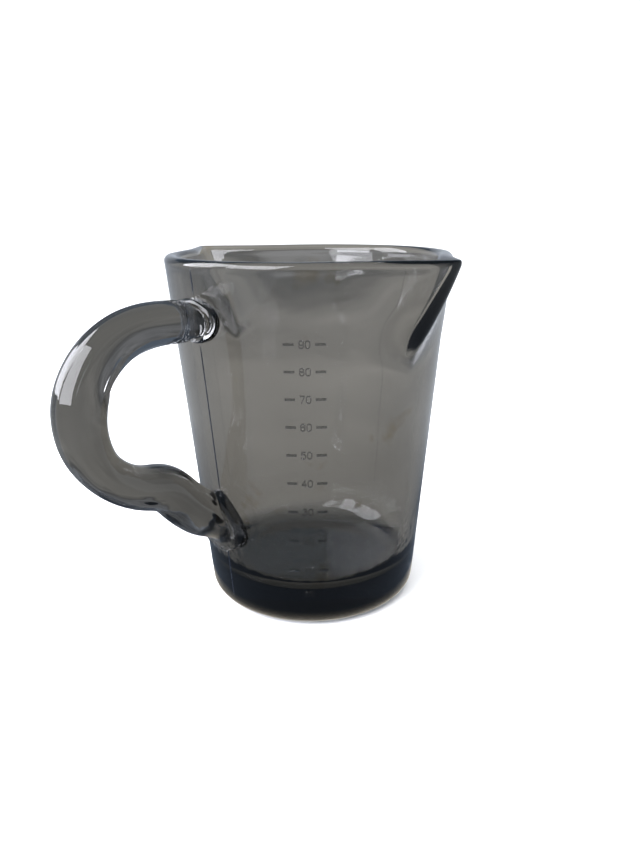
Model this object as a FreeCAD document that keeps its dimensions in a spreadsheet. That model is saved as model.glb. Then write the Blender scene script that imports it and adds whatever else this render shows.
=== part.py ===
import FreeCAD, Part
import math
import os
import Sketcher

# Small pressed-glass measuring jug with two pouring beaks and one loop handle.
# The origin is the centre of the flat underside and +Z is up. The handle stands
# out along -X, the beaks along -Y and +Y, and the scale sits halfway between
# the handle and the -Y beak. All sizes are in millimetres.

SIZES = {
    # vessel: a straight cone frustum with a thick base
    "height": 74.7,
    "base_radius": 23.15,
    "rim_radius": 29.52,
    "wall": 3.0,
    "floor_level": 6.7,
    "foot_round": 3.0,
    "floor_round": 5.2,
    "rim_round": 1.2,
    # beaks: three level sections, from inside the wall up to the rim
    "beak_low_level": 54.0,
    "beak_mid_level": 66.0,
    "beak_low_reach": 25.6,
    "beak_mid_reach": 33.9,
    "beak_top_reach": 38.9,
    "beak_low_half_width": 13.0,
    "beak_mid_half_width": 15.6,
    "beak_top_half_width": 18.6,
    "beak_low_shoulder": 22.4,
    "beak_mid_shoulder": 23.2,
    "beak_top_shoulder": 22.1,
    "beak_round": 1.6,
    # channels: the hollows of the beaks, a wall thickness inside them
    "channel_low_level": 54.0,
    "channel_mid_level": 66.0,
    "channel_low_reach": 21.7,
    "channel_mid_reach": 30.0,
    "channel_top_reach": 35.0,
    "channel_low_half_width": 11.2,
    "channel_mid_half_width": 13.8,
    "channel_top_half_width": 16.8,
    "channel_low_shoulder": 19.9,
    "channel_mid_shoulder": 20.7,
    "channel_top_shoulder": 19.6,
    "channel_round": 1.6,
    # handle spine: straight arm, shoulder bend, back bend, hump and lower arm
    "arm_level": 64.15,
    "arm_droop": 1.5,
    "arm_start": 24.5,
    "arm_end": 36.6,
    "shoulder_bend": 22.7,
    "shoulder_turn": 13.0,
    "back_bend": 15.1,
    "back_turn": 157.0,
    "hump_bend": 7.7,
    "hump_turn": 41.5,
    "heel_reach": 21.7,
    "heel_level": 21.2,
    "heel_turn": 36.0,
    # handle section: thickness in the handle's plane, by place along the spine
    "arm_thickness": 8.5,
    "shoulder_thickness": 9.0,
    "back_thickness": 9.9,
    "bend_thickness": 8.2,
    "hump_thickness": 9.6,
    "root_thickness": 10.8,
    "root_width": 13.6,
    "heel_thickness": 12.6,
    "heel_width": 15.2,
    # raised marks and mould seams
    "relief": 0.25,
    "mark_bearing": 225.0,
    "bar_length": 1.95,
    "bar_height": 0.42,
    "bar_centre": 2.85,
    "numeral_height": 1.35,
    "numeral_width": 0.8,
    "numeral_gap": 0.35,
    "stroke": 0.2,
    "unit_level": 8.4,
    "seam_width": 0.3,
    "seam_relief": 0.15,
    "seam_margin": 0.3,
}
SCALE_STEP_ML = 10
SCALE_STEPS = 9
MM3_PER_ML = 1000.0
HANDLE_OVAL = 1.03        # width over thickness of the handle's plain stretches
ROOT_FLARE = ((28.3, 0.9), (29.8, 0.3), (32.0, 0.0))                # reach, share of the root's section
HEEL_FLARE = ((0.3, 0.0), (0.55, 0.2), (0.77, 0.8), (1.0, 1.1))     # part of the lower arm, share
END_FLARE = 1.1           # share of the root's section where the arm ends inside the wall
DEEP = 4.0                # how far cutting shapes reach past a surface
LETTER_ARCH = 0.3         # radius of the arches of the letter m

doc = FreeCAD.newDocument("measuring_jug")
sheet = doc.addObject("Spreadsheet::Sheet", "Dims")
for row, (alias, value) in enumerate(SIZES.items(), start=1):
    sheet.set("A%d" % row, alias)
    sheet.set("B%d" % row, str(value))
    sheet.setAlias("B%d" % row, alias)
doc.recompute()


def size(alias):
    """A driving dimension, read back from the sheet."""
    return float(sheet.get(alias))


def bind(obj, **expressions):
    """Tie properties of an object to expressions of the sheet's cells."""
    for prop, expression in expressions.items():
        obj.setExpression(prop, expression)


def add(kind, name, **expressions):
    """Add a document object with bound sizes."""
    obj = doc.addObject(kind, name)
    bind(obj, **expressions)
    return obj


def boolean(kind, name, base, tool):
    """Part::Cut or Part::Common of two objects."""
    obj = doc.addObject(kind, name)
    obj.Base = base
    obj.Tool = tool
    return obj


def origin_feature(body, role):
    """One of a body's own origin planes or axes."""
    return next(f for f in body.Origin.OriginFeatures if f.Role == role)


def sketch_on(body, name, role, level=None):
    """A sketch on an origin plane of its body, lifted to a level of the sheet."""
    sketch = body.newObject("Sketcher::SketchObject", name)
    sketch.AttachmentSupport = (origin_feature(body, role), [""])
    sketch.MapMode = "FlatFace"
    if level:
        sketch.setExpression(".AttachmentOffset.Base.z", "Dims." + level)
    return sketch


def dimension(sketch, constraint, name, expression):
    """Add a named, sheet-bound dimension to a sketch."""
    index = sketch.addConstraint(constraint)
    sketch.renameConstraint(index, name)
    sketch.setExpression("Constraints." + name, expression)


# ---------------------------------------------------------------- vessel

def half_profile(sketch, corners):
    """Closed polygon of (x, x expression, y, y expression) corners, the first two on the axis."""
    count = len(corners)
    for i, (x0, _, y0, _) in enumerate(corners):
        x1, _, y1, _ = corners[(i + 1) % count]
        start = FreeCAD.Vector(x0, y0, 0)
        end = FreeCAD.Vector(x1, y1, 0)
        sketch.addGeometry(Part.LineSegment(start, end), False)
    for i in range(count):
        sketch.addConstraint(Sketcher.Constraint("Coincident", i, 2, (i + 1) % count, 1))
    for i, (x, x_expression, y, y_expression) in enumerate(corners):
        if x == 0:
            sketch.addConstraint(Sketcher.Constraint("PointOnObject", i, 1, -2))
        else:
            rule = Sketcher.Constraint("DistanceX", -1, 1, i, 1, x)
            dimension(sketch, rule, "across_%d" % i, x_expression)
        if y == 0:
            sketch.addConstraint(Sketcher.Constraint("PointOnObject", i, 1, -1))
        else:
            rule = Sketcher.Constraint("DistanceY", -1, 1, i, 1, y)
            dimension(sketch, rule, "up_%d" % i, y_expression)


def beak_section(body, part, stage):
    """Level section of a beak or its channel: two flanks meeting in a round nose, closed by a chord."""
    level = "height" if stage == "top" else "%s_%s_level" % (part, stage)
    sketch = sketch_on(body, "%s_%s" % (part, stage), "XY_Plane", level)
    cell = "%s_%s_" % (part, stage)
    rounding = part + "_round"
    nose = size(rounding)
    across = size(cell + "half_width")
    back = size(cell + "shoulder")
    centre = size(cell + "reach") - nose
    # the flank from the shoulder (across, back) touches the nose circle
    bearing = math.atan2(centre - back, -across)
    apart = math.hypot(across, centre - back)
    heading = bearing - math.asin(nose / apart)
    length = math.sqrt(apart ** 2 - nose ** 2)
    touch_x = across + length * math.cos(heading)
    touch_y = back + length * math.sin(heading)
    right = FreeCAD.Vector(across, back, 0)
    left = FreeCAD.Vector(-across, back, 0)
    right_touch = FreeCAD.Vector(touch_x, touch_y, 0)
    left_touch = FreeCAD.Vector(-touch_x, touch_y, 0)
    tip = FreeCAD.Vector(0, centre + nose, 0)
    sketch.addGeometry(Part.LineSegment(right, right_touch), False)
    sketch.addGeometry(Part.Arc(right_touch, tip, left_touch), False)
    sketch.addGeometry(Part.LineSegment(left_touch, left), False)
    sketch.addGeometry(Part.LineSegment(left, right), False)
    sketch.addConstraint(Sketcher.Constraint("Tangent", 0, 2, 1, 1))
    sketch.addConstraint(Sketcher.Constraint("Tangent", 1, 2, 2, 1))
    sketch.addConstraint(Sketcher.Constraint("Coincident", 2, 2, 3, 1))
    sketch.addConstraint(Sketcher.Constraint("Coincident", 3, 2, 0, 1))
    sketch.addConstraint(Sketcher.Constraint("PointOnObject", 1, 3, -2))
    sketch.addConstraint(Sketcher.Constraint("Symmetric", 0, 1, 2, 2, -2))
    dimension(sketch, Sketcher.Constraint("Radius", 1, nose), "nose", "Dims." + rounding)
    rule = Sketcher.Constraint("DistanceX", -1, 1, 0, 1, across)
    dimension(sketch, rule, "half", "Dims.%shalf_width" % cell)
    rule = Sketcher.Constraint("DistanceY", -1, 1, 0, 1, back)
    dimension(sketch, rule, "shoulder", "Dims.%sshoulder" % cell)
    rule = Sketcher.Constraint("DistanceY", -1, 1, 1, 3, centre)
    dimension(sketch, rule, "centre", "Dims.%sreach - Dims.%s" % (cell, rounding))
    return sketch


def loft(body, kind, part):
    """Loft of the three sections of one beak, or of its channel."""
    stages = [beak_section(body, part, stage) for stage in ("low", "mid", "top")]
    feature = body.newObject(kind, part)
    feature.Profile = stages[0]
    feature.Sections = stages[1:]
    return feature


def mirrored(body, name, original):
    """The same feature on the opposite side, at +Y and -Y."""
    feature = body.newObject("PartDesign::Mirrored", name)
    feature.Originals = [original]
    feature.MirrorPlane = (origin_feature(body, "XZ_Plane"), [""])
    body.Tip = feature
    return feature


def round_edges(body, name, base, radius, chosen):
    """Fillet the edges of base that the test chosen accepts."""
    names = ["Edge%d" % i for i, edge in enumerate(base.Shape.Edges, start=1) if chosen(edge)]
    feature = body.newObject("PartDesign::Fillet", name)
    feature.Base = (base, names)
    feature.setExpression("Radius", "Dims." + radius)
    doc.recompute()
    return feature


def level_edges(level):
    """Test for edges that lie in the horizontal plane at a level."""
    def chosen(edge):
        box = edge.BoundBox
        return abs(box.ZMin - level) < 1e-3 and abs(box.ZMax - level) < 1e-3
    return chosen


def build_vessel():
    body = doc.addObject("PartDesign::Body", "vessel")
    height = size("height")
    floor = size("floor_level")
    taper = (size("rim_radius") - size("base_radius")) / height
    outside = sketch_on(body, "outside_profile", "XZ_Plane")
    half_profile(outside, [
        (0, None, 0, None),
        (size("base_radius"), "Dims.base_radius", 0, None),
        (size("rim_radius"), "Dims.rim_radius", height, "Dims.height"),
        (0, None, height, "Dims.height"),
    ])
    blank = body.newObject("PartDesign::Revolution", "blank")
    blank.Profile = outside
    blank.ReferenceAxis = (outside, ["V_Axis"])
    blank.Angle = 360
    beak = loft(body, "PartDesign::AdditiveLoft", "beak")
    mirrored(body, "far_beak", beak)
    inside = sketch_on(body, "inside_profile", "XZ_Plane")
    floor_radius = size("base_radius") + taper * floor - size("wall")
    floor_rule = ("Dims.base_radius - Dims.wall + (Dims.rim_radius - Dims.base_radius)"
                  " * Dims.floor_level / Dims.height")
    half_profile(inside, [
        (0, None, floor, "Dims.floor_level"),
        (floor_radius, floor_rule, floor, "Dims.floor_level"),
        (size("rim_radius") - size("wall"), "Dims.rim_radius - Dims.wall", height, "Dims.height"),
        (0, None, height, "Dims.height"),
    ])
    hollow = body.newObject("PartDesign::Groove", "hollow")
    hollow.Profile = inside
    hollow.ReferenceAxis = (inside, ["V_Axis"])
    hollow.Angle = 360
    channel = loft(body, "PartDesign::SubtractiveLoft", "channel")
    far_channel = mirrored(body, "far_channel", channel)
    doc.recompute()
    foot = round_edges(body, "foot_rounding", far_channel, "foot_round", level_edges(0))
    floor_edge = round_edges(body, "floor_rounding", foot, "floor_round", level_edges(floor))
    round_edges(body, "rim_rounding", floor_edge, "rim_round", level_edges(height))
    return body


def wall_radius(level):
    """Outer radius of the plain wall at a level."""
    taper = (size("rim_radius") - size("base_radius")) / size("height")
    return size("base_radius") + taper * level


def wall_cone(name, proud=None):
    """Solid bounded by the wall's outer surface, or by one standing proud of it."""
    extra = " + Dims." + proud if proud else ""
    return add("Part::Cone", name, Radius1="Dims.base_radius" + extra,
               Radius2="Dims.rim_radius" + extra, Height="Dims.height")


# ---------------------------------------------------------------- handle

def arc_stations(start, radius, turn, count):
    """Points and headings along an arc that turns by turn degrees, positive to the left."""
    reach, level, heading = start
    side = 1 if turn > 0 else -1
    centre_reach = reach - side * radius * math.sin(math.radians(heading))
    centre_level = level + side * radius * math.cos(math.radians(heading))
    stations = []
    for i in range(1, count + 1):
        now = heading + turn * i / count
        stations.append((centre_reach + side * radius * math.sin(math.radians(now)),
                         centre_level - side * radius * math.cos(math.radians(now)), now))
    return stations


def curve_station(start, end, part):
    """Point and heading part of the way along a smooth curve between two headed points."""
    span = math.hypot(end[0] - start[0], end[1] - start[1])
    weights = (2 * part ** 3 - 3 * part ** 2 + 1, part ** 3 - 2 * part ** 2 + part,
               3 * part ** 2 - 2 * part ** 3, part ** 3 - part ** 2)
    slopes = (6 * part ** 2 - 6 * part, 3 * part ** 2 - 4 * part + 1,
              6 * part - 6 * part ** 2, 3 * part ** 2 - 2 * part)
    point = []
    slope = []
    for axis, component in ((0, math.cos), (1, math.sin)):
        ends = (start[axis], span * component(math.radians(start[2])),
                end[axis], span * component(math.radians(end[2])))
        point.append(sum(w * e for w, e in zip(weights, ends)))
        slope.append(sum(w * e for w, e in zip(slopes, ends)))
    return point[0], point[1], math.degrees(math.atan2(slope[1], slope[0]))


def blend(first, second, part):
    """Expression between two cells: first at 0, second at 1."""
    return "%.2f * Dims.%s + %.2f * Dims.%s" % (1 - part, first, part, second)


def root_station(reach, flare):
    """Station on the straight arm, which droops and flares towards the wall."""
    run = size("arm_end") - size("arm_start")
    drop = size("arm_droop") * 2 / run ** 2
    heading = math.degrees(math.atan(2 * drop * (size("arm_end") - reach)))
    level = size("arm_level") - drop * (size("arm_end") - reach) ** 2
    return ((reach, level, heading), blend("arm_thickness", "root_thickness", flare),
            blend("arm_thickness", "root_width", flare))


def handle_stations():
    """Stations of the handle as ((reach, level, heading), thickness, width)."""
    stations = [root_station(reach, flare)
                for reach, flare in ((size("arm_start"), END_FLARE),) + ROOT_FLARE]
    here = (size("arm_end"), size("arm_level"), 0.0)
    plain = [(here, blend("arm_thickness", "arm_thickness", 0))]
    stretches = (
        ("shoulder_bend", -size("shoulder_turn"), [("arm", "shoulder", 0.5), ("shoulder", "back", 0.0)]),
        ("back_bend", -size("back_turn"), [("shoulder", "back", 0.3), ("shoulder", "back", 0.65),
                                           ("back", "bend", 0.0), ("back", "bend", 0.35),
                                           ("back", "bend", 1.0), ("bend", "hump", 0.2),
                                           ("bend", "hump", 0.85)]),
        ("hump_bend", size("hump_turn"), [("hump", "bend", 0.0), ("hump", "bend", 0.0)]),
    )
    for radius, turn, blends in stretches:
        points = arc_stations(here, size(radius), turn, len(blends))
        for point, (first, second, part) in zip(points, blends):
            plain.append((point, blend(first + "_thickness", second + "_thickness", part)))
        here = points[-1]
    stations += [(point, rule, "%s * (%s)" % (HANDLE_OVAL, rule)) for point, rule in plain]
    heel = (size("heel_reach"), size("heel_level"), here[2] - size("heel_turn"))
    for part, flare in HEEL_FLARE:
        point = curve_station(here, heel, part)
        stations.append((point, blend("hump_thickness", "heel_thickness", flare),
                         blend("hump_thickness", "heel_width", flare)))
    return stations


def build_handle(wall):
    """Loft of oval sections, cut off by the wall's outer surface at both ends."""
    sections = []
    for i, ((reach, level, heading), thickness, width) in enumerate(handle_stations()):
        turn = math.radians(heading)
        along = FreeCAD.Vector(-math.cos(turn), 0, math.sin(turn))
        across = FreeCAD.Vector(math.sin(turn), 0, math.cos(turn))
        side = FreeCAD.Vector(0, -1, 0)
        oval = add("Part::Ellipse", "handle_section_%d" % (i + 1),
                   MajorRadius="(%s) / 2" % width, MinorRadius="(%s) / 2" % thickness)
        oval.Placement = FreeCAD.Placement(FreeCAD.Vector(-reach, 0, level),
                                           FreeCAD.Rotation(side, across, along, "ZXY"))
        sections.append(oval)
    bar = doc.addObject("Part::Loft", "handle_bar")
    bar.Sections = sections
    bar.Solid = True
    return boolean("Part::Cut", "handle", bar, wall)


# ---------------------------------------------------------------- raised marks

def scale_level(millilitres):
    """Level of the liquid in the plain conical bore for a volume."""
    taper = (size("rim_radius") - size("base_radius")) / size("height")
    floor_radius = wall_radius(size("floor_level")) - size("wall")
    surface = (3 * taper * millilitres * MM3_PER_ML / math.pi + floor_radius ** 3) ** (1 / 3)
    return size("floor_level") + (surface - floor_radius) / taper


def skin(name, proud):
    """Thin layer standing proud of the wall."""
    return boolean("Part::Cut", name, wall_cone(name + "_outside", proud), wall_cone(name + "_inside"))


def build_bars(layer):
    """Two short bars at every step of the scale."""
    bars = []
    for step in range(1, SCALE_STEPS + 1):
        level = scale_level(step * SCALE_STEP_ML)
        for side, label in ((-1, "left"), (1, "right")):
            bar = add("Part::Box", "bar_%d_%s" % (step, label),
                      Width="Dims.bar_length", Height="Dims.bar_height")
            bar.Length = 2 * DEEP
            bar.Placement.Base = FreeCAD.Vector(
                wall_radius(level) - DEEP, side * size("bar_centre") - size("bar_length") / 2,
                level - size("bar_height") / 2)
            bars.append(bar)
    block = doc.addObject("Part::MultiFuse", "bar_blocks")
    block.Shapes = bars
    return boolean("Part::Common", "graduation_bars", block, layer)


def is_arc(point):
    """Whether an entry of a stroke is a (via, end) pair."""
    return isinstance(point[0], tuple)


def stroke_face(points, reach, left, bottom):
    """Face of one stroke whose points are corners, or (via, end) pairs of an arc."""
    def at(point):
        return FreeCAD.Vector(reach, left + point[0], bottom + point[1])
    half = size("stroke") / 2
    if len(points) == 2 and not is_arc(points[1]):
        (x0, z0), (x1, z1) = points
        side = FreeCAD.Vector(0, z0 - z1, x1 - x0).normalize() * half
        corners = [at(points[0]) - side, at(points[1]) - side, at(points[1]) + side, at(points[0]) + side]
        return Part.Face(Part.makePolygon(corners + corners[:1]))
    edges = []
    here = points[0]
    for point in points[1:]:
        if is_arc(point):
            edges.append(Part.Arc(at(here), at(point[0]), at(point[1])).toShape())
            here = point[1]
        else:
            edges.append(Part.LineSegment(at(here), at(point)).toShape())
            here = point
    wire = Part.Wire(edges)
    if wire.isClosed():
        return Part.Face(wire.makeOffset2D(half)).cut(Part.Face(wire.makeOffset2D(-half)))
    return Part.Face(wire.makeOffset2D(half, 0, False, False, False))


def glyph_strokes(character):
    """Strokes of a figure or letter, drawn with round bowls and open counters."""
    w = size("numeral_width")
    top = size("numeral_height")
    r = w / 2
    small = r * 0.9
    waist = 2 * r
    x_height = 0.68 * top
    arch = LETTER_ARCH
    if character == "0":
        return [[(0, r), ((r, 0), (w, r)), (w, top - r), ((r, top), (0, top - r)), (0, r)]]
    if character == "1":
        return [[(0.2 * w, 0.8 * top), (0.6 * w, top), (0.6 * w, 0)]]
    if character == "2":
        return [[(0, top - r), ((r, top), (w, top - r)), (0, 0), (w, 0)]]
    if character == "3":
        return [[(0.1 * w, top - 0.5 * r), ((r + small, top - small), (r, top - 2 * small))],
                [(r, waist), ((w, r), (0, 0.6 * r))]]
    if character == "4":
        return [[(0.7 * w, 0), (0.7 * w, top)], [(0.7 * w, top), (0, 0.3 * top), (w, 0.3 * top)]]
    if character == "5":
        return [[(0.9 * w, top), (0.1 * w, top), (0.05 * w, waist), ((w, r), (0, 0.4 * r))]]
    if character == "6":
        return [[(0, r), ((r, 0), (w, r)), ((r, waist), (0, r))],
                [(0, r), (0, top - r), ((r, top), (w, top - 0.8 * r))]]
    if character == "7":
        return [[(0, top), (w, top), (0.3 * w, 0)]]
    if character == "8":
        return [[(0, r), ((r, 0), (w, r)), ((r, waist), (0, r))],
                [(r - small, top - small), ((r, top), (r + small, top - small)),
                 ((r, top - 2 * small), (r - small, top - small))]]
    if character == "9":
        return [[(0, top - r), ((r, top), (w, top - r)), ((r, top - waist), (0, top - r))],
                [(w, top - r), (w, r), ((r, 0), (0, 0.8 * r))]]
    if character == "m":
        return [[(0, 0), (0, x_height)],
                [(0, x_height - arch), ((arch, x_height), (2 * arch, x_height - arch)), (2 * arch, 0)],
                [(2 * arch, x_height - arch), ((3 * arch, x_height), (4 * arch, x_height - arch)),
                 (4 * arch, 0)]]
    return [[(0, 0), (0, top)]]


def glyph_width(character):
    """Width of a character's strokes."""
    return {"m": 4 * LETTER_ARCH, "l": 0.0}.get(character, size("numeral_width"))


def label_block(text, level):
    """Deep solids of a word's characters, centred on the scale at a level."""
    gap = size("numeral_gap")
    left = -(sum(glyph_width(c) for c in text) + gap * (len(text) - 1)) / 2
    bottom = level - size("numeral_height") / 2
    reach = wall_radius(level) - DEEP
    solids = []
    for character in text:
        faces = [stroke_face(points, reach, left, bottom) for points in glyph_strokes(character)]
        blocks = [face.extrude(FreeCAD.Vector(2 * DEEP, 0, 0)) for face in faces]
        solid = blocks[0].multiFuse(blocks[1:]).removeSplitter() if len(blocks) > 1 else blocks[0]
        solids.append(solid)
        left += glyph_width(character) + gap
    return solids


def build_labels(name, labels, layer):
    """Raised characters, each its own solid on the wall."""
    solids = [solid for text, level in labels for solid in label_block(text, level)]
    feature = doc.addObject("Part::Feature", name)
    feature.Shape = Part.makeCompound([solid.common(layer.Shape) for solid in solids])
    return feature


def build_seam(name, layer):
    """Hairline rib that the mould's parting left down the wall, on the +X side."""
    blade = add("Part::Box", name + "_blade", Length="Dims.rim_radius + Dims.wall", Width="Dims.seam_width",
                Height="Dims.height - Dims.foot_round - Dims.rim_round - 2 * Dims.seam_margin")
    bind(blade, **{".Placement.Base.y": "-Dims.seam_width / 2",
                   ".Placement.Base.z": "Dims.foot_round + Dims.seam_margin"})
    return boolean("Part::Common", name, blade, layer)


def turned(obj, bearing):
    """Turn a finished object about the jug's axis."""
    obj.Placement = FreeCAD.Placement(FreeCAD.Vector(), FreeCAD.Rotation(FreeCAD.Vector(0, 0, 1), bearing))
    return obj


vessel = build_vessel()
handle = build_handle(wall_cone("handle_trim"))
mark_layer = skin("mark_layer", "relief")
seam_layer = skin("seam_layer", "seam_relief")
bars = build_bars(mark_layer)
doc.recompute()
levels = [(str(step * SCALE_STEP_ML), scale_level(step * SCALE_STEP_ML))
          for step in range(1, SCALE_STEPS + 1)]
numerals = build_labels("graduation_numerals", levels, mark_layer)
unit_mark = build_labels("unit_mark", [("ml", size("unit_level"))], mark_layer)
for mark in (bars, numerals, unit_mark):
    turned(mark, size("mark_bearing"))
far_seam = build_seam("mould_seam_far_side", seam_layer)
near_blank = turned(build_seam("near_seam", seam_layer), 180)
handle_seam = boolean("Part::Cut", "mould_seam_handle_side", near_blank, handle)
doc.recompute()

NODES = (vessel, handle, bars, numerals, unit_mark, far_seam, handle_seam)
for obj in doc.Objects:
    if "Invalid" in obj.State or "Error" in obj.State:
        raise RuntimeError("%s did not compute" % obj.Name)
for node in NODES:
    if node.Shape.isNull() or not node.Shape.isValid() or not node.Shape.Solids:
        raise RuntimeError("%s is not a valid solid" % node.Label)
os.makedirs("parts", exist_ok=True)
for node in NODES:
    node.Shape.exportStep("parts/%s.step" % node.Label)
    print(node.Label, len(node.Shape.Solids), "solids,", round(node.Shape.Volume, 2), "mm3")
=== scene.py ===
import math

import bpy
import numpy as np
from mathutils import Matrix, Vector, noise


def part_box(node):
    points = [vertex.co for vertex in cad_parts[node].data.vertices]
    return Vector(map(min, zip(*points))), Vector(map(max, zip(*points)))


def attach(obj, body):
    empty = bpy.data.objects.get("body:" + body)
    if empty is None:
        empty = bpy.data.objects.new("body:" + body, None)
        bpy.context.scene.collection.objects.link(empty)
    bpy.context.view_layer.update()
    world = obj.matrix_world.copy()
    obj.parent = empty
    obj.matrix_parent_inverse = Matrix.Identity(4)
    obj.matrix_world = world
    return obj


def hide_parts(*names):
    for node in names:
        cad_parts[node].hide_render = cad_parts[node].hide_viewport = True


# A small smoky pressed-glass measuring jug with two pouring beaks and a loop handle.
# Lengths are in millimetres, in the CAD model's frame, until a mesh is made in metres.

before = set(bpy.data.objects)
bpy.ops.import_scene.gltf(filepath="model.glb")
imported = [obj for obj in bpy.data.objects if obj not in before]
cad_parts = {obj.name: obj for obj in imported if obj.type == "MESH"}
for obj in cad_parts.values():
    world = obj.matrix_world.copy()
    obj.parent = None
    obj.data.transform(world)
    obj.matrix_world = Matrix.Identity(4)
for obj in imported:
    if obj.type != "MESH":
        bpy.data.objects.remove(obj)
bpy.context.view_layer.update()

MM = 0.001

# vessel: the CAD model's driving dimensions
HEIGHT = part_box("vessel")[1].z / MM
BASE_RADIUS = 23.15
RIM_RADIUS = 29.52
TAPER = (RIM_RADIUS - BASE_RADIUS) / HEIGHT
WALL = 3.0
FLOOR_LEVEL = 6.7
FOOT_ROUND = 3.0
FLOOR_ROUND = 5.2
RIM_ROUND = 1.4
RIM_SHARE = 0.48

# beaks and the channels inside them: reach, half width and shoulder at three levels,
# the radius of the nose, and the width over which they blend into the round wall
BEAK_LEVELS = (54.0, 66.0, HEIGHT)
BEAK = {"reach": (26.6, 34.3, 38.4), "half_width": (13.0, 15.6, 18.6), "shoulder": (22.4, 23.2, 22.1),
        "round": 1.6, "blend": 2.2}
CHANNEL = {"reach": (20.6, 30.6, 36.8), "half_width": (10.6, 12.6, 14.6), "shoulder": (19.9, 20.7, 20.0),
           "round": 1.1, "blend": 2.6}

# handle spine and section
ARM_LEVEL = 64.15
ARM_DROOP = 1.5
ARM_START = 24.5
ARM_END = 36.6
BENDS = ((22.7, -13.0), (15.1, -157.0), (7.7, 41.5))
HEEL = (21.7, 21.2)
HEEL_TURN = 36.0
HANDLE_OVAL = 1.03
SPINE_STEP = 0.25
LOWER_ARM_POINTS = 80

# marks and seams stand on a calm stretch of wall that buries their backs by a hair
MARK_BEARING = math.radians(225)
MARK_SPREAD = math.radians(9)
MARK_TOP = 62.0
SEAM_SPREAD = 0.16
BURY = 0.015
# waviness of the pressed glass: depth, pitch and where in the noise it starts
OUTER_RIPPLE = (0.06, 9.0, 3.0)
INNER_RIPPLE = (0.1, 7.0, 11.0)

# mesh of the vessel: columns, drawn together at the beaks, and rings of each stretch
COLUMNS = 400
BEAK_CROWDING = 0.6
UNDERSIDE_RINGS = 9
ROUND_RINGS = 9
OUTER_RINGS = 96
INNER_RINGS = 90
FLOOR_RINGS = 12


# ---------------------------------------------------------------- mesh helpers

def mesh_object(name, points, faces, material):
    """A smooth mesh object from points in millimetres."""
    mesh = bpy.data.meshes.new(name)
    mesh.from_pydata((np.asarray(points) * MM).tolist(), [], faces)
    mesh.update()
    mesh.shade_smooth()
    mesh.materials.append(material)
    made = bpy.data.objects.new(name, mesh)
    bpy.context.scene.collection.objects.link(made)
    return made


def ring_faces(rings, columns):
    """Quads between neighbouring rings of a lathe-like grid, with a pole point at each end."""
    faces = []
    for column in range(columns):
        following = (column + 1) % columns
        faces.append((0, 1 + following, 1 + column))
        for ring in range(rings - 1):
            low = 1 + ring * columns
            high = low + columns
            faces.append((low + column, low + following, high + following, high + column))
        last = 1 + (rings - 1) * columns
        faces.append((last + column, last + following, 1 + rings * columns))
    return faces


def lathe_object(name, rings, first_pole, last_pole, material):
    """A closed mesh of rings, each an array of points, between two pole points."""
    columns = len(rings[0])
    points = np.vstack([first_pole] + list(rings) + [last_pole])
    return mesh_object(name, points, ring_faces(len(rings), columns), material)


# ---------------------------------------------------------------- vessel shape

def wall_radius(level):
    """Outer radius of the plain cone."""
    return BASE_RADIUS + TAPER * level


def smooth_larger(first, second, width):
    """The larger of two radii, blended over a width."""
    overlap = np.maximum(width - np.abs(first - second), 0.0) / width
    return np.maximum(first, second) + overlap ** 2 * width / 4


def through(groove, key, level):
    """The smooth curve through a beak's three values."""
    return np.polyval(np.polyfit(BEAK_LEVELS, groove[key], 2), level)


def beak_radius(groove, bearing, level):
    """Radius of a beak's outline: straight flanks that touch a round nose."""
    nose = groove["round"]
    away = np.arccos(np.clip(np.abs(np.sin(bearing)), 0.0, 1.0))
    centre = through(groove, "reach", level) - nose
    half = through(groove, "half_width", level)
    ahead = centre - through(groove, "shoulder", level)
    lean = np.arctan2(ahead, half) + np.arcsin(np.clip(nose / np.hypot(half, ahead), -1.0, 1.0))
    touch = np.arctan2(nose * np.sin(lean), centre + nose * np.cos(lean))
    tip = centre * np.cos(away) + np.sqrt(np.maximum(nose ** 2 - (centre * np.sin(away)) ** 2, 0.0))
    nearest = centre * np.cos(lean) + nose
    past = np.cos(away - lean)
    flank = np.where(away < lean, nearest / past, nearest * past)
    return np.where(away < touch, tip, flank)


def with_beaks(plain, groove, bearing, level):
    """A round outline, pushed out where a beak or its channel leaves it."""
    if level <= BEAK_LEVELS[0]:
        return plain
    return smooth_larger(plain, beak_radius(groove, bearing, level), groove["blend"])


def outer_radius(bearing, level):
    """Radius of the outside at a bearing and level."""
    return with_beaks(wall_radius(level) + 0.0 * bearing, BEAK, bearing, level)


def inner_radius(bearing, level):
    """Radius of the inside at a bearing and level."""
    return with_beaks(wall_radius(level) - WALL + 0.0 * bearing, CHANNEL, bearing, level)


def slant(radii, bearings):
    """How far radial distances stretch across an outline that doesn't face the axis."""
    change = np.gradient(np.append(radii, radii[0]), np.append(bearings, bearings[0] + 2 * math.pi))[:-1]
    return np.sqrt(1 + (change / radii) ** 2)


def ripple(points, depth, pitch, seed):
    """Gentle waviness of pressed glass at each point, from 0 to depth."""
    offset = Vector((seed, 0.0, 0.0))
    wave = [noise.noise(Vector(point / pitch) + offset) for point in points]
    return depth * (0.5 + 0.5 * np.array(wave))


def calm(bearings, level):
    """1 where marks or seams stand on the wall, 0 elsewhere, with soft edges."""
    scale_side = np.abs(np.angle(np.exp(1j * (bearings - MARK_BEARING))))
    seam_side = np.minimum(np.abs(np.sin(bearings)), 1.0)
    on_scale = np.clip(1.6 - scale_side / MARK_SPREAD, 0.0, 1.0) * (level < MARK_TOP)
    near_seam = np.clip(1.0 - seam_side / SEAM_SPREAD, 0.0, 1.0)
    on_seam = near_seam * near_seam * (3.0 - 2.0 * near_seam)
    return np.maximum(on_scale, on_seam)


def ring(bearings, radii, level):
    """Points of one ring."""
    return np.column_stack([radii * np.cos(bearings), radii * np.sin(bearings),
                            np.full(len(bearings), level)])


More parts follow.
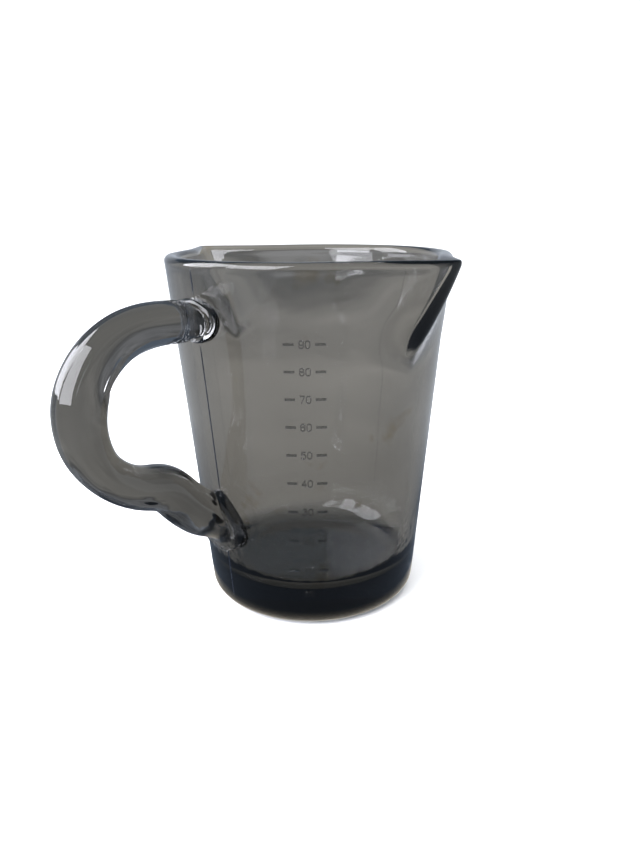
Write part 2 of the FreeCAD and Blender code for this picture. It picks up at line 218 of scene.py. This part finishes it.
def build_vessel(material):
    """The vessel: underside, foot, outside, rim, inside and floor, as one closed skin."""
    u = np.linspace(0.0, 2 * math.pi, COLUMNS, endpoint=False)
    bearings = u + BEAK_CROWDING / 2 * np.sin(2 * u)
    quarter = np.linspace(0.0, math.pi / 2, ROUND_RINGS)
    rings = []
    foot_edge = BASE_RADIUS - FOOT_ROUND
    for share in np.linspace(0.1, 0.94, UNDERSIDE_RINGS):
        rings.append(ring(bearings, np.full(COLUMNS, foot_edge * share), 0.0))
    for angle in quarter[:-1]:
        level = FOOT_ROUND * (1 - math.cos(angle))
        radius = outer_radius(bearings, level) - FOOT_ROUND * (1 - math.sin(angle))
        rings.append(ring(bearings, radius, level))
    for level in np.linspace(FOOT_ROUND, HEIGHT - RIM_ROUND, OUTER_RINGS):
        plain = outer_radius(bearings, level)
        still = calm(bearings, level)
        radius = plain - (1 - still) * ripple(ring(bearings, plain, level), *OUTER_RIPPLE) + still * BURY
        rings.append(ring(bearings, radius, level))
    outer_top = outer_radius(bearings, HEIGHT)
    inner_top = inner_radius(bearings, HEIGHT)
    most = RIM_SHARE * (outer_top - inner_top)
    outer_round = np.minimum(RIM_ROUND * slant(outer_top, bearings), most)
    inner_round = np.minimum(RIM_ROUND * slant(inner_top, bearings), most)
    for angle in quarter[1:]:
        level = HEIGHT - RIM_ROUND * (1 - math.sin(angle))
        radius = outer_radius(bearings, level) - outer_round * (1 - math.cos(angle))
        rings.append(ring(bearings, radius, level))
    for angle in quarter[::-1]:
        level = HEIGHT - RIM_ROUND * (1 - math.sin(angle))
        radius = inner_radius(bearings, level) + inner_round * (1 - math.cos(angle))
        rings.append(ring(bearings, radius, level))
    for level in np.linspace(HEIGHT - RIM_ROUND, FLOOR_LEVEL + FLOOR_ROUND, INNER_RINGS)[1:]:
        plain = inner_radius(bearings, level)
        radius = plain + ripple(ring(bearings, plain, level), *INNER_RIPPLE)
        rings.append(ring(bearings, radius, level))
    for angle in quarter[1:]:
        level = FLOOR_LEVEL + FLOOR_ROUND * (1 - math.sin(angle))
        radius = inner_radius(bearings, level) - FLOOR_ROUND * (1 - math.cos(angle))
        rings.append(ring(bearings, radius, level))
    floor_edge = wall_radius(FLOOR_LEVEL) - WALL - FLOOR_ROUND
    for share in np.linspace(0.94, 0.06, FLOOR_RINGS):
        rings.append(ring(bearings, np.full(COLUMNS, floor_edge * share), FLOOR_LEVEL))
    return lathe_object("vessel_glass_body", rings, (0, 0, 0), (0, 0, FLOOR_LEVEL), material)


# ---------------------------------------------------------------- handle shape

def handle_spine():
    """Points (reach, level) along the middle of the handle, from wall to wall."""
    points = []
    for reach in np.arange(ARM_START, ARM_END, SPINE_STEP):
        sag = ARM_DROOP * ((ARM_END - reach) / (ARM_END - ARM_START)) ** 2
        points.append((reach, ARM_LEVEL - sag))
    reach, level, heading = ARM_END, ARM_LEVEL, 0.0
    for radius, turn in BENDS:
        side = math.copysign(1.0, turn)
        centre = (reach - side * radius * math.sin(math.radians(heading)),
                  level + side * radius * math.cos(math.radians(heading)))
        steps = int(radius * math.radians(abs(turn)) / SPINE_STEP)
        for step in range(steps):
            now = math.radians(heading + turn * step / steps)
            points.append((centre[0] + side * radius * math.sin(now),
                           centre[1] - side * radius * math.cos(now)))
        heading += turn
        now = math.radians(heading)
        reach = centre[0] + side * radius * math.sin(now)
        level = centre[1] - side * radius * math.cos(now)
    span = math.hypot(HEEL[0] - reach, HEEL[1] - level)
    leave = span * np.array([math.cos(math.radians(heading)), math.sin(math.radians(heading))])
    final = math.radians(heading - HEEL_TURN)
    arrive = span * np.array([math.cos(final), math.sin(final)])
    for part in np.linspace(0.0, 1.0, LOWER_ARM_POINTS):
        point = ((2 * part ** 3 - 3 * part ** 2 + 1) * np.array([reach, level])
                 + (part ** 3 - 2 * part ** 2 + part) * leave
                 + (3 * part ** 2 - 2 * part ** 3) * np.array(HEEL)
                 + (part ** 3 - part ** 2) * arrive)
        points.append(tuple(point))
    return np.array(points)


HANDLE_COLUMNS = 144
HANDLE_STATIONS = 220
TUBE_START = 32.2
TUBE_END = 31.2
# thickness in the handle's plane, by share of the spine's length
THICKNESS = ((0.0, 8.4), (0.12, 8.4), (0.22, 8.9), (0.33, 9.4), (0.42, 9.9), (0.5, 9.3), (0.58, 8.1),
             (0.66, 8.5), (0.73, 9.5), (0.88, 10.1), (1.0, 10.6))
# each end is a low collar with a round edge: place and size of its outline on the wall,
# closed by a cap a little under the wall's surface
CAP_DEPTH = 0.06
CAP_SHARES = (1.0, 0.85, 0.65, 0.45, 0.25, 0.1)
UPPER_COLLAR = {"level": 63.7, "half_height": 4.2, "half_width": 6.2, "egg": -0.1, "thick": 1.7}
LOWER_COLLAR = {"level": 22.4, "half_height": 6.5, "half_width": 6.1, "egg": 0.42, "thick": 2.6}
COLLAR_ROUND = 0.9
FLARE_RINGS = 10
EDGE_RINGS = 8
# fine ridges along the handle
RIDGE_DEPTH = 0.16
RIDGE_PITCH = 1.1


def smoothed(values, count):
    """Running average over an odd count of neighbours, with the ends held."""
    pad = count // 2
    padded = np.concatenate([np.repeat(values[:1], pad, 0), values, np.repeat(values[-1:], pad, 0)])
    kernel = np.hanning(count + 2)[1:-1]
    kernel /= kernel.sum()
    return np.column_stack([np.convolve(column, kernel, "valid") for column in padded.T])


def spine_stations():
    """Evenly spaced points, unit tangents and thicknesses along the spine."""
    raw = handle_spine()
    steps = np.hypot(*np.diff(raw, axis=0).T)
    run = np.concatenate([[0.0], np.cumsum(steps)])
    even = np.linspace(0.0, run[-1], HANDLE_STATIONS)
    points = smoothed(np.column_stack([np.interp(even, run, axis) for axis in raw.T]), 11)
    tangents = np.gradient(points, axis=0)
    tangents /= np.hypot(*tangents.T)[:, None]
    shares, widths = zip(*THICKNESS)
    thickness = smoothed(np.interp(even / run[-1], shares, widths)[:, None], 21)[:, 0]
    return points, tangents, thickness


def ridges(angles, thickness, along):
    """Inward depth of the fine ridges that run along the handle, at one place along it."""
    round_section = thickness / 2 / RIDGE_PITCH
    spots = np.column_stack([np.cos(angles) * round_section, np.sin(angles) * round_section,
                             np.full(len(angles), along / 22.0)])
    fine = np.array([noise.noise(Vector(spot)) for spot in spots])
    coarse = np.array([noise.noise(Vector(spot * 0.4)) for spot in spots])
    return RIDGE_DEPTH * (0.5 + 0.5 * fine) + 2 * RIDGE_DEPTH * (0.5 + 0.5 * coarse)


def tube_ring(point, tangent, thickness, angles, along):
    """Oval ring square to the spine; the handle's plane is y = 0 and it reaches along -X."""
    radius = thickness / 2 - ridges(angles, thickness, along)
    across = HANDLE_OVAL * radius * np.cos(angles)
    rise = radius * np.sin(angles)
    return np.column_stack([-(point[0] - tangent[1] * rise), across, point[1] + tangent[0] * rise])


def on_wall(across, level, depth=0.0):
    """Point of the handle side of the wall, in from its outer surface by a depth."""
    radius = wall_radius(level) - depth
    turn = across / radius
    return np.column_stack([-radius * np.cos(turn), radius * np.sin(turn), level])


def collar_outline(collar, angles, way, inset=0.0):
    """(across, level) of the collar on the wall; way is 1 if the ring's rise points up, else -1."""
    rise = way * np.sin(angles)
    across = (collar["half_width"] - inset) * np.cos(angles) * (1 - collar["egg"] * rise)
    return across, collar["level"] + (collar["half_height"] - inset) * rise


def root_rings(ring_points, tangent, collar, angles, way):
    """Rings from the last plain ring over the collar to the wall, then the cap under its surface."""
    across, level = collar_outline(collar, angles, way, COLLAR_ROUND)
    front = on_wall(across, level, -collar["thick"])
    heart = front.mean(axis=0)
    spread = front - heart
    spread /= np.linalg.norm(spread, axis=1)[:, None]
    gap = np.linalg.norm(front - ring_points, axis=1)[:, None]
    first = ring_points + tangent * gap * 0.5
    second = front - spread * gap * 0.35
    rings = []
    for part in np.linspace(0.0, 1.0, FLARE_RINGS + 1)[1:]:
        rest = 1 - part
        rings.append(rest ** 3 * ring_points + 3 * rest ** 2 * part * first
                     + 3 * rest * part ** 2 * second + part ** 3 * front)
    for turn in np.linspace(0.0, math.pi / 2, EDGE_RINGS + 1)[1:]:
        across, level = collar_outline(collar, angles, way, COLLAR_ROUND * (1 - math.sin(turn)))
        rings.append(on_wall(across, level, COLLAR_ROUND * (1 - math.cos(turn)) - collar["thick"]))
    across, level = collar_outline(collar, angles, way)
    rings.append(on_wall(across, level))
    for share in CAP_SHARES:
        rings.append(on_wall(across * share, collar["level"] + (level - collar["level"]) * share, CAP_DEPTH))
    return rings


def build_handle(material):
    """The loop with a collar at each end, as one closed skin."""
    points, tangents, thickness = spine_stations()
    angles = np.linspace(2 * math.pi, 0.0, HANDLE_COLUMNS, endpoint=False)
    first = int(np.argmax(points[:, 0] > TUBE_START))
    last = HANDLE_STATIONS - 1 - int(np.argmax(points[::-1, 0] > TUBE_END))
    run = np.concatenate([[0.0], np.cumsum(np.hypot(*np.diff(points, axis=0).T))])
    tube = [tube_ring(points[i], tangents[i], thickness[i], angles, run[i]) for i in range(first, last + 1)]
    inward = np.array([tangents[first][0], 0.0, -tangents[first][1]])
    upper = root_rings(tube[0], inward, UPPER_COLLAR, angles, 1)
    inward = np.array([-tangents[last][0], 0.0, tangents[last][1]])
    lower = root_rings(tube[-1], inward, LOWER_COLLAR, angles, -1)
    rings = upper[::-1] + tube + lower
    first_pole = on_wall(np.zeros(1), np.array([UPPER_COLLAR["level"]]), CAP_DEPTH)[0]
    last_pole = on_wall(np.zeros(1), np.array([LOWER_COLLAR["level"]]), CAP_DEPTH)[0]
    return lathe_object("handle_glass_loop", rings, first_pole, last_pole, material)


# ---------------------------------------------------------------- seams

# by the sign of X: -1 is the handle side, 1 the far side
SEAM_HALF_WIDTH = {-1: 0.19, 1: 0.1}
SEAM_BURIED = {-1: 0.25, 1: 0.02}
SEAM_PROUD = 0.02
SEAM_STEP = 0.5
SEAM_COLUMNS = 10
HANDLE_SEAM_SPANS = ((3.3, 16.4), (28.9, 59.0), (68.4, 73.3))
FAR_SEAM_SPANS = ((3.3, 73.3),)


def seam_points(bottom, top, side):
    """Rings of a fine rib up the wall, on the side where X has the given sign."""
    turns = np.linspace(2 * math.pi, 0.0, SEAM_COLUMNS, endpoint=False)
    count = int((top - bottom) / SEAM_STEP)
    rings = []
    for i, level in enumerate(np.linspace(bottom, top, count)):
        taper = min(1.0, 0.3 + min(i, count - 1 - i) / 4)
        depth = np.where(np.sin(turns) > 0, SEAM_PROUD, SEAM_BURIED[side])
        proud = BURY + depth * np.sin(turns) * taper
        across = SEAM_HALF_WIDTH[side] * np.cos(turns) * taper
        radius = wall_radius(level) + proud
        rings.append(np.column_stack([side * radius, side * across, np.full(len(turns), level)]))
    return rings


def build_seam(name, side, spans, material):
    """One seam as a joined mesh of closed ribs, one for each span of levels."""
    points = []
    faces = []
    for bottom, top in spans:
        rings = seam_points(bottom, top, side)
        start = len(points)
        points += [rings[0].mean(axis=0), *np.vstack(rings), rings[-1].mean(axis=0)]
        faces += [tuple(start + i for i in face) for face in ring_faces(len(rings), len(rings[0]))]
    return mesh_object(name, points, faces, material)


# ---------------------------------------------------------------- node helpers

def new_material(name):
    """A material with its node tree, its shader and its object coordinates."""
    material = bpy.data.materials.new(name)
    material.use_nodes = True
    tree = material.node_tree
    place = tree.nodes.new("ShaderNodeTexCoord").outputs["Object"]
    return material, tree, tree.nodes["Principled BSDF"], place


def feed(tree, socket, value):
    """Give a socket a plain value or a link."""
    if isinstance(value, bpy.types.NodeSocket):
        tree.links.new(value, socket)
    else:
        socket.default_value = value


def math_node(tree, operation, *values):
    """Output of a Math node; each value is a number or a socket."""
    node = tree.nodes.new("ShaderNodeMath")
    node.operation = operation
    for socket, value in zip(node.inputs, values):
        feed(tree, socket, value)
    return node.outputs["Value"]


def mix_node(tree, factor, first, second):
    """Colour mix; first and second are colours or sockets."""
    node = tree.nodes.new("ShaderNodeMix")
    node.data_type = "RGBA"
    sockets = [socket for socket in node.inputs if socket.enabled]
    for socket, value in zip(sockets, (factor, first, second)):
        feed(tree, socket, value)
    return next(socket for socket in node.outputs if socket.enabled)


def noise_node(tree, place, scale, detail=2.0):
    """Value of a noise texture, with its scale per metre."""
    texture = tree.nodes.new("ShaderNodeTexNoise")
    texture.inputs["Scale"].default_value = scale
    texture.inputs["Detail"].default_value = detail
    tree.links.new(place, texture.inputs["Vector"])
    return texture.outputs["Fac"]


def range_node(tree, value, source=(0.0, 1.0), target=(0.0, 1.0), smooth=False):
    """A value mapped from one range to another, and held at the ends."""
    node = tree.nodes.new("ShaderNodeMapRange")
    node.interpolation_type = "SMOOTHSTEP" if smooth else "LINEAR"
    for key, number in zip(("From Min", "From Max", "To Min", "To Max"), (*source, *target)):
        node.inputs[key].default_value = number
    tree.links.new(value, node.inputs["Value"])
    return node.outputs["Result"]


def tone_ramp(tree, distance, tones):
    """Colour by distance, from pairs of distance and colour."""
    ramp = tree.nodes.new("ShaderNodeValToRGB")
    stops = ramp.color_ramp.elements
    while len(stops) < len(tones):
        stops.new(0.5)
    for stop, (place, colour) in zip(stops, tones):
        stop.position = place
        stop.color = (*colour, 1.0)
    tree.links.new(distance, ramp.inputs["Fac"])
    return ramp.outputs["Color"]


# ---------------------------------------------------------------- materials

SMOKE = (0.070, 0.075, 0.090, 1.0)
SMOKE_DENSITY = 108.0
MARK_DENSITY = 2400.0
GLASS_IOR = 1.5
GLASS_GRAIN = 220.0
GLASS_ROUGHNESS = (0.0, 0.04)
# crinkles low on the inside: from where, up to where, how strong above that, grain and depth
CHILL_START = 8.5
CHILL_TOP = 24.0
CHILL_ABOVE = 0.03
CHILL_GRAIN = 520.0
CHILL_DETAIL = 3.0
CHILL_DEPTH = 0.3
# dark specks in the glass and dried stains on it
SPECK_GRAIN = 110.0
SPECK_SIZE = 0.045
SPECK_TINT = (0.12, 0.11, 0.10, 1.0)
STAIN_GRAIN = 95.0
STAIN_DETAIL = 4.0
STAIN_EDGE = (0.66, 0.76)
STAIN_TINT = (0.78, 0.68, 0.50, 1.0)
CLEAR = (1.0, 1.0, 1.0, 1.0)
# painted shade: an opaque dark line on the handle-side seam, standing in for the darkness refraction gives
# the clear glass seam
PAINTED_SEAM_SHADE_TINTS = ((0.006, 0.008, 0.013, 1.0), (0.020, 0.024, 0.034, 1.0))
LINE_GLOSS = 0.3
LINE_GRAIN = 300.0
LINE_ROUGHNESS = (0.15, 0.35)


def seam_material():
    """Dark glossy opaque line: painted shade for how the joint line of the mould looks dark in smoky glass,
    where the real seam is clear glass.
    """
    material, tree, shader, place = new_material("seam_painted_shade")
    grain = noise_node(tree, place, LINE_GRAIN)
    shader.inputs["Specular IOR Level"].default_value = LINE_GLOSS
    tree.links.new(mix_node(tree, grain, *PAINTED_SEAM_SHADE_TINTS), shader.inputs["Base Color"])
    tree.links.new(range_node(tree, grain, target=LINE_ROUGHNESS), shader.inputs["Roughness"])
    return material


def glass_material(name, density=SMOKE_DENSITY, used=False):
    """Smoky glass, grey in proportion to its depth; used glass has crinkles, specks and stains."""
    material, tree, shader, place = new_material(name)
    shader.inputs["Transmission Weight"].default_value = 1.0
    shader.inputs["IOR"].default_value = GLASS_IOR
    grain = noise_node(tree, place, GLASS_GRAIN)
    tree.links.new(range_node(tree, grain, target=GLASS_ROUGHNESS), shader.inputs["Roughness"])
    if used:
        add_chill_marks(tree, place, shader)
        add_specks(tree, place, shader)
    depth = tree.nodes.new("ShaderNodeVolumeAbsorption")
    depth.inputs["Color"].default_value = SMOKE
    depth.inputs["Density"].default_value = density
    tree.links.new(depth.outputs["Volume"], tree.nodes["Material Output"].inputs["Volume"])
    return material


def add_chill_marks(tree, place, shader):
    """Fine crinkles low on the inside, where the hot glass first touched the cold plunger."""
    split = tree.nodes.new("ShaderNodeSeparateXYZ")
    tree.links.new(place, split.inputs["Vector"])
    level = split.outputs["Z"]
    squares = [math_node(tree, "POWER", split.outputs[axis], 2.0) for axis in "XY"]
    radius = math_node(tree, "SQRT", math_node(tree, "ADD", *squares))
    base = math_node(tree, "SUBTRACT", radius, math_node(tree, "MULTIPLY", level, TAPER))
    inside = math_node(tree, "LESS_THAN", base, (BASE_RADIUS - WALL / 2) * MM)
    rise = range_node(tree, level, (CHILL_START * MM, (CHILL_START + FLOOR_ROUND) * MM), smooth=True)
    fade = range_node(tree, level, (FLOOR_LEVEL * MM, CHILL_TOP * MM), (1.0, CHILL_ABOVE), smooth=True)
    strength = math_node(tree, "MULTIPLY", fade, math_node(tree, "MULTIPLY", inside, rise))
    bump = tree.nodes.new("ShaderNodeBump")
    bump.inputs["Distance"].default_value = CHILL_DEPTH * MM
    tree.links.new(strength, bump.inputs["Strength"])
    tree.links.new(noise_node(tree, place, CHILL_GRAIN, CHILL_DETAIL), bump.inputs["Height"])
    tree.links.new(bump.outputs["Normal"], shader.inputs["Normal"])


def add_specks(tree, place, shader):
    """A few tiny dark specks and faint dried stains, as a tint of the clear surface."""
    cells = tree.nodes.new("ShaderNodeTexVoronoi")
    cells.inputs["Scale"].default_value = SPECK_GRAIN
    tree.links.new(place, cells.inputs["Vector"])
    split = tree.nodes.new("ShaderNodeSeparateColor")
    tree.links.new(cells.outputs["Color"], split.inputs["Color"])
    size = math_node(tree, "MULTIPLY", split.outputs["Red"], SPECK_SIZE)
    speck = math_node(tree, "LESS_THAN", cells.outputs["Distance"], size)
    stain = range_node(tree, noise_node(tree, place, STAIN_GRAIN, STAIN_DETAIL), STAIN_EDGE)
    stained = mix_node(tree, stain, CLEAR, STAIN_TINT)
    tree.links.new(mix_node(tree, speck, stained, SPECK_TINT), shader.inputs["Base Color"])


# ---------------------------------------------------------------- stage

# the floor lies a hair under the jug, runs flat and then curves up all round
AIR_GAP = 0.1
FLOOR_FLAT = 700.0
FLOOR_BEND = 900.0
FLOOR_RISE = math.radians(75)
FLOOR_COLUMNS = 128
FLOOR_SEEN = (0.95, 0.95, 0.95, 1.0)
# painted light: for the glass, the floor glows with these tones by distance from its middle in metres. Seen
# through the glass:
# painted shade under the jug, a lit ring round it and a dimmer glow far off; mirrored on it: a painted
# bright ring at the foot, painted dark bluish reflection round it, and a paler glow further out
PAINTED_THROUGH_LIGHT = ((0.020, (0.06, 0.055, 0.04)), (0.034, (0.34, 0.325, 0.29)), (0.30, (0.36, 0.345, 0.31)),
                 (0.75, (0.15, 0.147, 0.135)), (1.0, (0.30, 0.30, 0.30)))
PAINTED_MIRRORED_LIGHT = ((0.0242, (0.95, 0.88, 0.76)), (0.0262, (0.14, 0.17, 0.22)), (0.055, (0.15, 0.18, 0.23)),
                  (0.13, (0.64, 0.69, 0.76)), (0.75, (0.56, 0.61, 0.69)))
# painted light: blotches of brighter and dimmer glow seen through the glass, as grain, noise span and
# strength
PAINTED_BLOTCH_GRAIN = 6.0
PAINTED_BLOTCH_SPAN = (0.35, 0.65)
PAINTED_BLOTCH_STRENGTH = (0.78, 1.15)

# the camera looks along this bearing, turned by small angles off level
CAMERA_BEARING = math.radians(46.8)
CAMERA_DISTANCE = 149.8
CAMERA_LEVEL = 84.0
CAMERA_PITCH = math.radians(17.6)
CAMERA_YAW = math.radians(-0.8)
CAMERA_ROLL = math.radians(-0.64)
CAMERA_LENS = 29.54
CAMERA_SENSOR = 36.0
CAMERA_CLIP = (0.01, 20.0)

# lights in metres and watts; a pane's middle is given along the camera's right, depth and up
SKY = (0.62, 0.78, 1.0, 1.0)
SKY_STRENGTH = 0.36
OVERHEAD_LEVEL = 1.2
OVERHEAD_SIZE = 2.4
OVERHEAD_POWER = 42.0
OVERHEAD_TINT = (1.0, 0.97, 0.93)
PANE_MIDDLE = (-0.46, -0.16, 0.36)
PANE_SHIFTS = (("window_left", -0.22), ("window_right", 0.22))
PANE_LINE = (-0.4, 0.9)
PANE_SIZE = (0.40, 0.55)
PANE_POWER = 6.0
PANE_TINT = (0.93, 0.94, 1.0)
PANE_TARGET = (0, 0, 0.05)


def floor_material():
    """Pale matt floor, white where it is looked at; for all other rays it glows with painted light, dimmer,
    in what the glass gathers from it: painted shade, a painted highlight ring and painted reflection.
    """
    material, tree, shader, place = new_material("pale_floor_and_painted_glow")
    shader.inputs["Roughness"].default_value = 0.9
    shader.inputs["Specular IOR Level"].default_value = 0.0
    shader.inputs["Base Color"].default_value = FLOOR_SEEN
    distance = tree.nodes.new("ShaderNodeVectorMath")
    distance.operation = "LENGTH"
    tree.links.new(place, distance.inputs[0])
    # painted light: soft blotches that scale the glow seen through the glass
    painted_blotches = range_node(tree, noise_node(tree, place, PAINTED_BLOTCH_GRAIN), PAINTED_BLOTCH_SPAN, PAINTED_BLOTCH_STRENGTH)
    painted_light_through_glass = tree.nodes.new("ShaderNodeVectorMath")
    painted_light_through_glass.operation = "SCALE"
    tree.links.new(tone_ramp(tree, distance.outputs["Value"], PAINTED_THROUGH_LIGHT), painted_light_through_glass.inputs[0])
    tree.links.new(painted_blotches, painted_light_through_glass.inputs["Scale"])
    painted_light_mirrored = tone_ramp(tree, distance.outputs["Value"], PAINTED_MIRRORED_LIGHT)
    # painted light: camera rays see the lit pale floor, all other rays see a glow of the painted tones
    path = tree.nodes.new("ShaderNodeLightPath")
    painted_glow = tree.nodes.new("ShaderNodeEmission")
    tree.links.new(mix_node(tree, path.outputs["Is Transmission Ray"], painted_light_mirrored,
                            painted_light_through_glass.outputs["Vector"]), painted_glow.inputs["Color"])
    choose = tree.nodes.new("ShaderNodeMixShader")
    tree.links.new(path.outputs["Is Camera Ray"], choose.inputs["Fac"])
    tree.links.new(painted_glow.outputs["Emission"], choose.inputs[1])
    tree.links.new(shader.outputs["BSDF"], choose.inputs[2])
    tree.links.new(choose.outputs["Shader"], tree.nodes["Material Output"].inputs["Surface"])
    return material


def build_floor():
    """A round pale floor that curves up into a low wall all round."""
    bearings = np.linspace(0.0, 2 * math.pi, FLOOR_COLUMNS, endpoint=False)
    around = np.ones(FLOOR_COLUMNS)
    rings = [ring(bearings, around * radius, -AIR_GAP) for radius in np.linspace(50.0, FLOOR_FLAT, 12)]
    for angle in np.linspace(0.0, FLOOR_RISE, 24)[1:]:
        rings.append(ring(bearings, around * (FLOOR_FLAT + FLOOR_BEND * math.sin(angle)),
                          FLOOR_BEND * (1 - math.cos(angle)) - AIR_GAP))
    points = np.vstack([(0, 0, -AIR_GAP)] + rings)
    faces = [face for face in ring_faces(len(rings), FLOOR_COLUMNS) if max(face) < len(points)]
    floor = mesh_object("floor", points, faces, floor_material())


def area_light(name, place, target, width, height, power, colour):
    """A rectangular light that faces a point."""
    lamp = bpy.data.lights.new(name, "AREA")
    lamp.shape = "RECTANGLE"
    lamp.size = width
    lamp.size_y = height
    lamp.energy = power
    lamp.color = colour
    made = bpy.data.objects.new(name, lamp)
    made.location = place
    made.rotation_euler = (Vector(target) - Vector(place)).to_track_quat("-Z", "Y").to_euler()
    bpy.context.scene.collection.objects.link(made)
    return made


def camera_axes():
    """The camera's level right and depth directions."""
    right = Vector((math.sin(CAMERA_BEARING), -math.cos(CAMERA_BEARING), 0.0))
    depth = Vector((math.cos(CAMERA_BEARING), math.sin(CAMERA_BEARING), 0.0))
    return right, depth


def build_camera():
    right, depth = camera_axes()
    up = Vector((0.0, 0.0, 1.0))
    level_forward = depth * math.cos(CAMERA_YAW) - right * math.sin(CAMERA_YAW)
    forward = level_forward * math.cos(CAMERA_PITCH) - up * math.sin(CAMERA_PITCH)
    side = right * math.cos(CAMERA_YAW) + depth * math.sin(CAMERA_YAW)
    above = side.cross(forward)
    rolled_side = side * math.cos(CAMERA_ROLL) + above * math.sin(CAMERA_ROLL)
    rolled_above = above * math.cos(CAMERA_ROLL) - side * math.sin(CAMERA_ROLL)
    data = bpy.data.cameras.new("camera")
    data.lens = CAMERA_LENS
    data.sensor_width = CAMERA_SENSOR
    data.clip_start, data.clip_end = CAMERA_CLIP
    camera = bpy.data.objects.new("camera", data)
    turn = Matrix((rolled_side, rolled_above, -forward)).transposed().to_4x4()
    place = (-CAMERA_DISTANCE * depth + CAMERA_LEVEL * up) * MM
    camera.matrix_world = Matrix.Translation(place) @ turn
    bpy.context.scene.collection.objects.link(camera)
    bpy.context.scene.camera = camera


def build_light():
    """Dim sky, a wide soft light overhead that glass doesn't mirror, and two window panes."""
    world = bpy.data.worlds.new("studio")
    world.use_nodes = True
    sky = world.node_tree.nodes["Background"]
    sky.inputs["Color"].default_value = SKY
    sky.inputs["Strength"].default_value = SKY_STRENGTH
    bpy.context.scene.world = world
    overhead = area_light("overhead", (0.0, 0.0, OVERHEAD_LEVEL), (0, 0, 0), OVERHEAD_SIZE, OVERHEAD_SIZE,
                          OVERHEAD_POWER, OVERHEAD_TINT)
    overhead.visible_glossy = False
    overhead.visible_transmission = False
    right, depth = camera_axes()
    middle = PANE_MIDDLE[0] * right + PANE_MIDDLE[1] * depth + Vector((0, 0, PANE_MIDDLE[2]))
    for name, shift in PANE_SHIFTS:
        place = middle + shift * (PANE_LINE[0] * right + PANE_LINE[1] * depth)
        area_light(name, place, PANE_TARGET, *PANE_SIZE, PANE_POWER, PANE_TINT)
    bpy.context.scene.view_settings.view_transform = "Standard"


# ---------------------------------------------------------------- assembly

build_camera()
build_floor()
build_light()

vessel_glass = glass_material("smoky_vessel_glass", used=True)
handle_glass = glass_material("smoky_handle_glass")
mark_glass = glass_material("smoky_mark_glass", density=MARK_DENSITY)
# painted shade for the seam on the handle side
seam_painted_shade = seam_material()

pieces = (
    (build_vessel(vessel_glass), "vessel", "vessel_glass"),
    (build_handle(handle_glass), "handle", "handle_glass"),
    (build_seam("seam_rib_handle_side", -1, HANDLE_SEAM_SPANS, seam_painted_shade), "mould_seam_handle_side",
     "vessel_glass"),
    (build_seam("seam_rib_far_side", 1, FAR_SEAM_SPANS, vessel_glass), "mould_seam_far_side",
     "vessel_glass"),
)
for piece, node, slot in pieces:
    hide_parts(node)
    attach(piece, "root")

for node in ("graduation_bars", "graduation_numerals", "unit_mark"):
    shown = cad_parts[node].data.materials
    shown.clear()
    shown.append(mark_glass)
